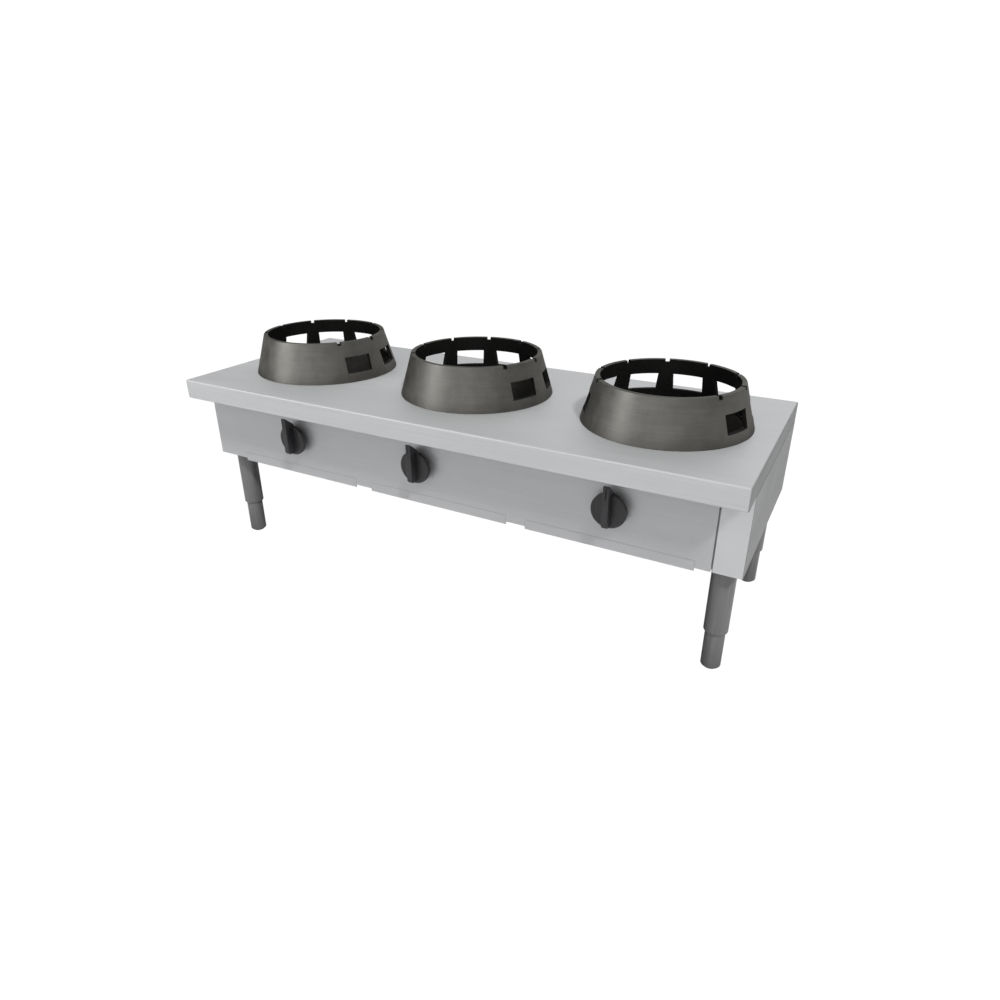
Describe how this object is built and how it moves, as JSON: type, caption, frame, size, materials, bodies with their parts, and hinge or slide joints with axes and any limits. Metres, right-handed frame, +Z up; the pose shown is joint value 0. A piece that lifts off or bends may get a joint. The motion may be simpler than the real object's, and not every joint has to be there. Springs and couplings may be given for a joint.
{
  "type": "wok range",
  "caption": "Low gas wok range: stainless worktop with windowed wok rings in a row, knobs on a recessed front panel, pull-out drip trays and short adjustable legs.",
  "frame": {"origin": "on the floor, under the middle of the worktop", "axes": "+X along the length to the user's right, +Y from the knobs to the back, +Z up"},
  "size_m": [1.5, 0.59, 0.6073],
  "materials": {
    "stainless_top": "satin brushed stainless worktop",
    "stainless_panel": "satin brushed stainless sheet",
    "galvanised": "galvanised sheet",
    "leg_steel": "dark polished stainless tube",
    "gas_pipe": "black steel pipe",
    "ring_iron": "gunmetal, satin outside and sooty inside",
    "bowl_steel": "heat-darkened steel",
    "burner_iron": "rough black casting",
    "valve_brass": "machined brass",
    "knob_plastic": "dark grey moulded plastic",
    "copper_pipe": "drawn copper",
    "tray_steel": "satin stainless sheet"
  },
  "bodies": {
    "range_body": {"worktop": "stainless_top", "front_panel": "stainless_panel", "side_panel_right": "stainless_panel", "side_panel_left": "stainless_panel", "back_panel": "stainless_panel", "front_rail": "galvanised", "rear_rail": "galvanised", "side_member_right": "galvanised", "side_member_left": "galvanised", "tray_runner_left": "galvanised", "tray_runner_right": "galvanised", "manifold_bracket_left": "galvanised", "manifold_bracket_right": "galvanised", "burner_bar_left": "galvanised", "burner_bar_middle": "galvanised", "burner_bar_right": "galvanised", "leg_front_left": "leg_steel", "leg_front_right": "leg_steel", "leg_rear_left": "leg_steel", "leg_rear_right": "leg_steel", "gas_manifold": "gas_pipe", "gas_inlet": "gas_pipe", "burner_bowl_left": "bowl_steel", "burner_bowl_middle": "bowl_steel", "burner_bowl_right": "bowl_steel", "burner_body_left": "burner_iron", "burner_body_middle": "burner_iron", "burner_body_right": "burner_iron", "burner_cap_left": "burner_iron", "burner_cap_middle": "burner_iron", "burner_cap_right": "burner_iron", "gas_valve_left": "valve_brass", "gas_valve_middle": "valve_brass", "gas_valve_right": "valve_brass", "gas_feed_left": "copper_pipe", "gas_feed_middle": "copper_pipe", "gas_feed_right": "copper_pipe", "pilot_left": "copper_pipe", "pilot_middle": "copper_pipe", "pilot_right": "copper_pipe", "flame_sensor_left": "copper_pipe", "flame_sensor_middle": "copper_pipe", "flame_sensor_right": "copper_pipe"},
    "ring_left": {"wok_ring_left": "ring_iron"},
    "ring_middle": {"wok_ring_middle": "ring_iron"},
    "ring_right": {"wok_ring_right": "ring_iron"},
    "spindle_left": {"valve_spindle_left": "valve_brass"},
    "knob_left_body": {"knob_left": "knob_plastic"},
    "spindle_middle": {"valve_spindle_middle": "valve_brass"},
    "knob_middle_body": {"knob_middle": "knob_plastic"},
    "spindle_right": {"valve_spindle_right": "valve_brass"},
    "knob_right_body": {"knob_right": "knob_plastic"},
    "tray_left": {"drip_tray_left": "tray_steel"},
    "tray_middle": {"drip_tray_middle": "tray_steel"},
    "tray_right": {"drip_tray_right": "tray_steel"},
    "front_left_foot": {"foot_front_left": "leg_steel"},
    "front_right_foot": {"foot_front_right": "leg_steel"},
    "rear_left_foot": {"foot_rear_left": "leg_steel"},
    "rear_right_foot": {"foot_rear_right": "leg_steel"}
  },
  "joints": [
    {"name": "ring_lift_left", "type": "slide", "parent": "range_body", "child": "ring_left", "axis": [0, 0, 1], "range_m": [0, 0.15]},
    {"name": "ring_lift_middle", "type": "slide", "parent": "range_body", "child": "ring_middle", "axis": [0, 0, 1], "range_m": [0, 0.15]},
    {"name": "ring_lift_right", "type": "slide", "parent": "range_body", "child": "ring_right", "axis": [0, 0, 1], "range_m": [0, 0.15]},
    {"name": "knob_push_left", "type": "slide", "parent": "range_body", "child": "spindle_left", "axis": [0, 1, 0], "range_m": [0, 0.003], "stiffness_N_per_m": 2000, "springref_m": -0.002},
    {"name": "knob_turn_left", "type": "hinge", "parent": "spindle_left", "child": "knob_left_body", "pos_m": [-0.44, -0.235, 0.365], "axis": [0, -1, 0], "range_deg": [0, 180]},
    {"name": "knob_push_middle", "type": "slide", "parent": "range_body", "child": "spindle_middle", "axis": [0, 1, 0], "range_m": [0, 0.003], "stiffness_N_per_m": 2000, "springref_m": -0.002},
    {"name": "knob_turn_middle", "type": "hinge", "parent": "spindle_middle", "child": "knob_middle_body", "pos_m": [-0.042, -0.235, 0.365], "axis": [0, -1, 0], "range_deg": [0, 180]},
    {"name": "knob_push_right", "type": "slide", "parent": "range_body", "child": "spindle_right", "axis": [0, 1, 0], "range_m": [0, 0.003], "stiffness_N_per_m": 2000, "springref_m": -0.002},
    {"name": "knob_turn_right", "type": "hinge", "parent": "spindle_right", "child": "knob_right_body", "pos_m": [0.46, -0.235, 0.365], "axis": [0, -1, 0], "range_deg": [0, 180]},
    {"name": "tray_slide_left", "type": "slide", "parent": "range_body", "child": "tray_left", "axis": [0, -1, 0], "range_m": [0, 0.42]},
    {"name": "tray_slide_middle", "type": "slide", "parent": "range_body", "child": "tray_middle", "axis": [0, -1, 0], "range_m": [0, 0.42]},
    {"name": "tray_slide_right", "type": "slide", "parent": "range_body", "child": "tray_right", "axis": [0, -1, 0], "range_m": [0, 0.42]},
    {"name": "foot_screw_front_left", "type": "slide", "parent": "range_body", "child": "front_left_foot", "axis": [0, 0, -1], "range_m": [0, 0.03]},
    {"name": "foot_screw_front_right", "type": "slide", "parent": "range_body", "child": "front_right_foot", "axis": [0, 0, -1], "range_m": [0, 0.03]},
    {"name": "foot_screw_rear_left", "type": "slide", "parent": "range_body", "child": "rear_left_foot", "axis": [0, 0, -1], "range_m": [0, 0.03]},
    {"name": "foot_screw_rear_right", "type": "slide", "parent": "range_body", "child": "rear_right_foot", "axis": [0, 0, -1], "range_m": [0, 0.03]}
  ]
}
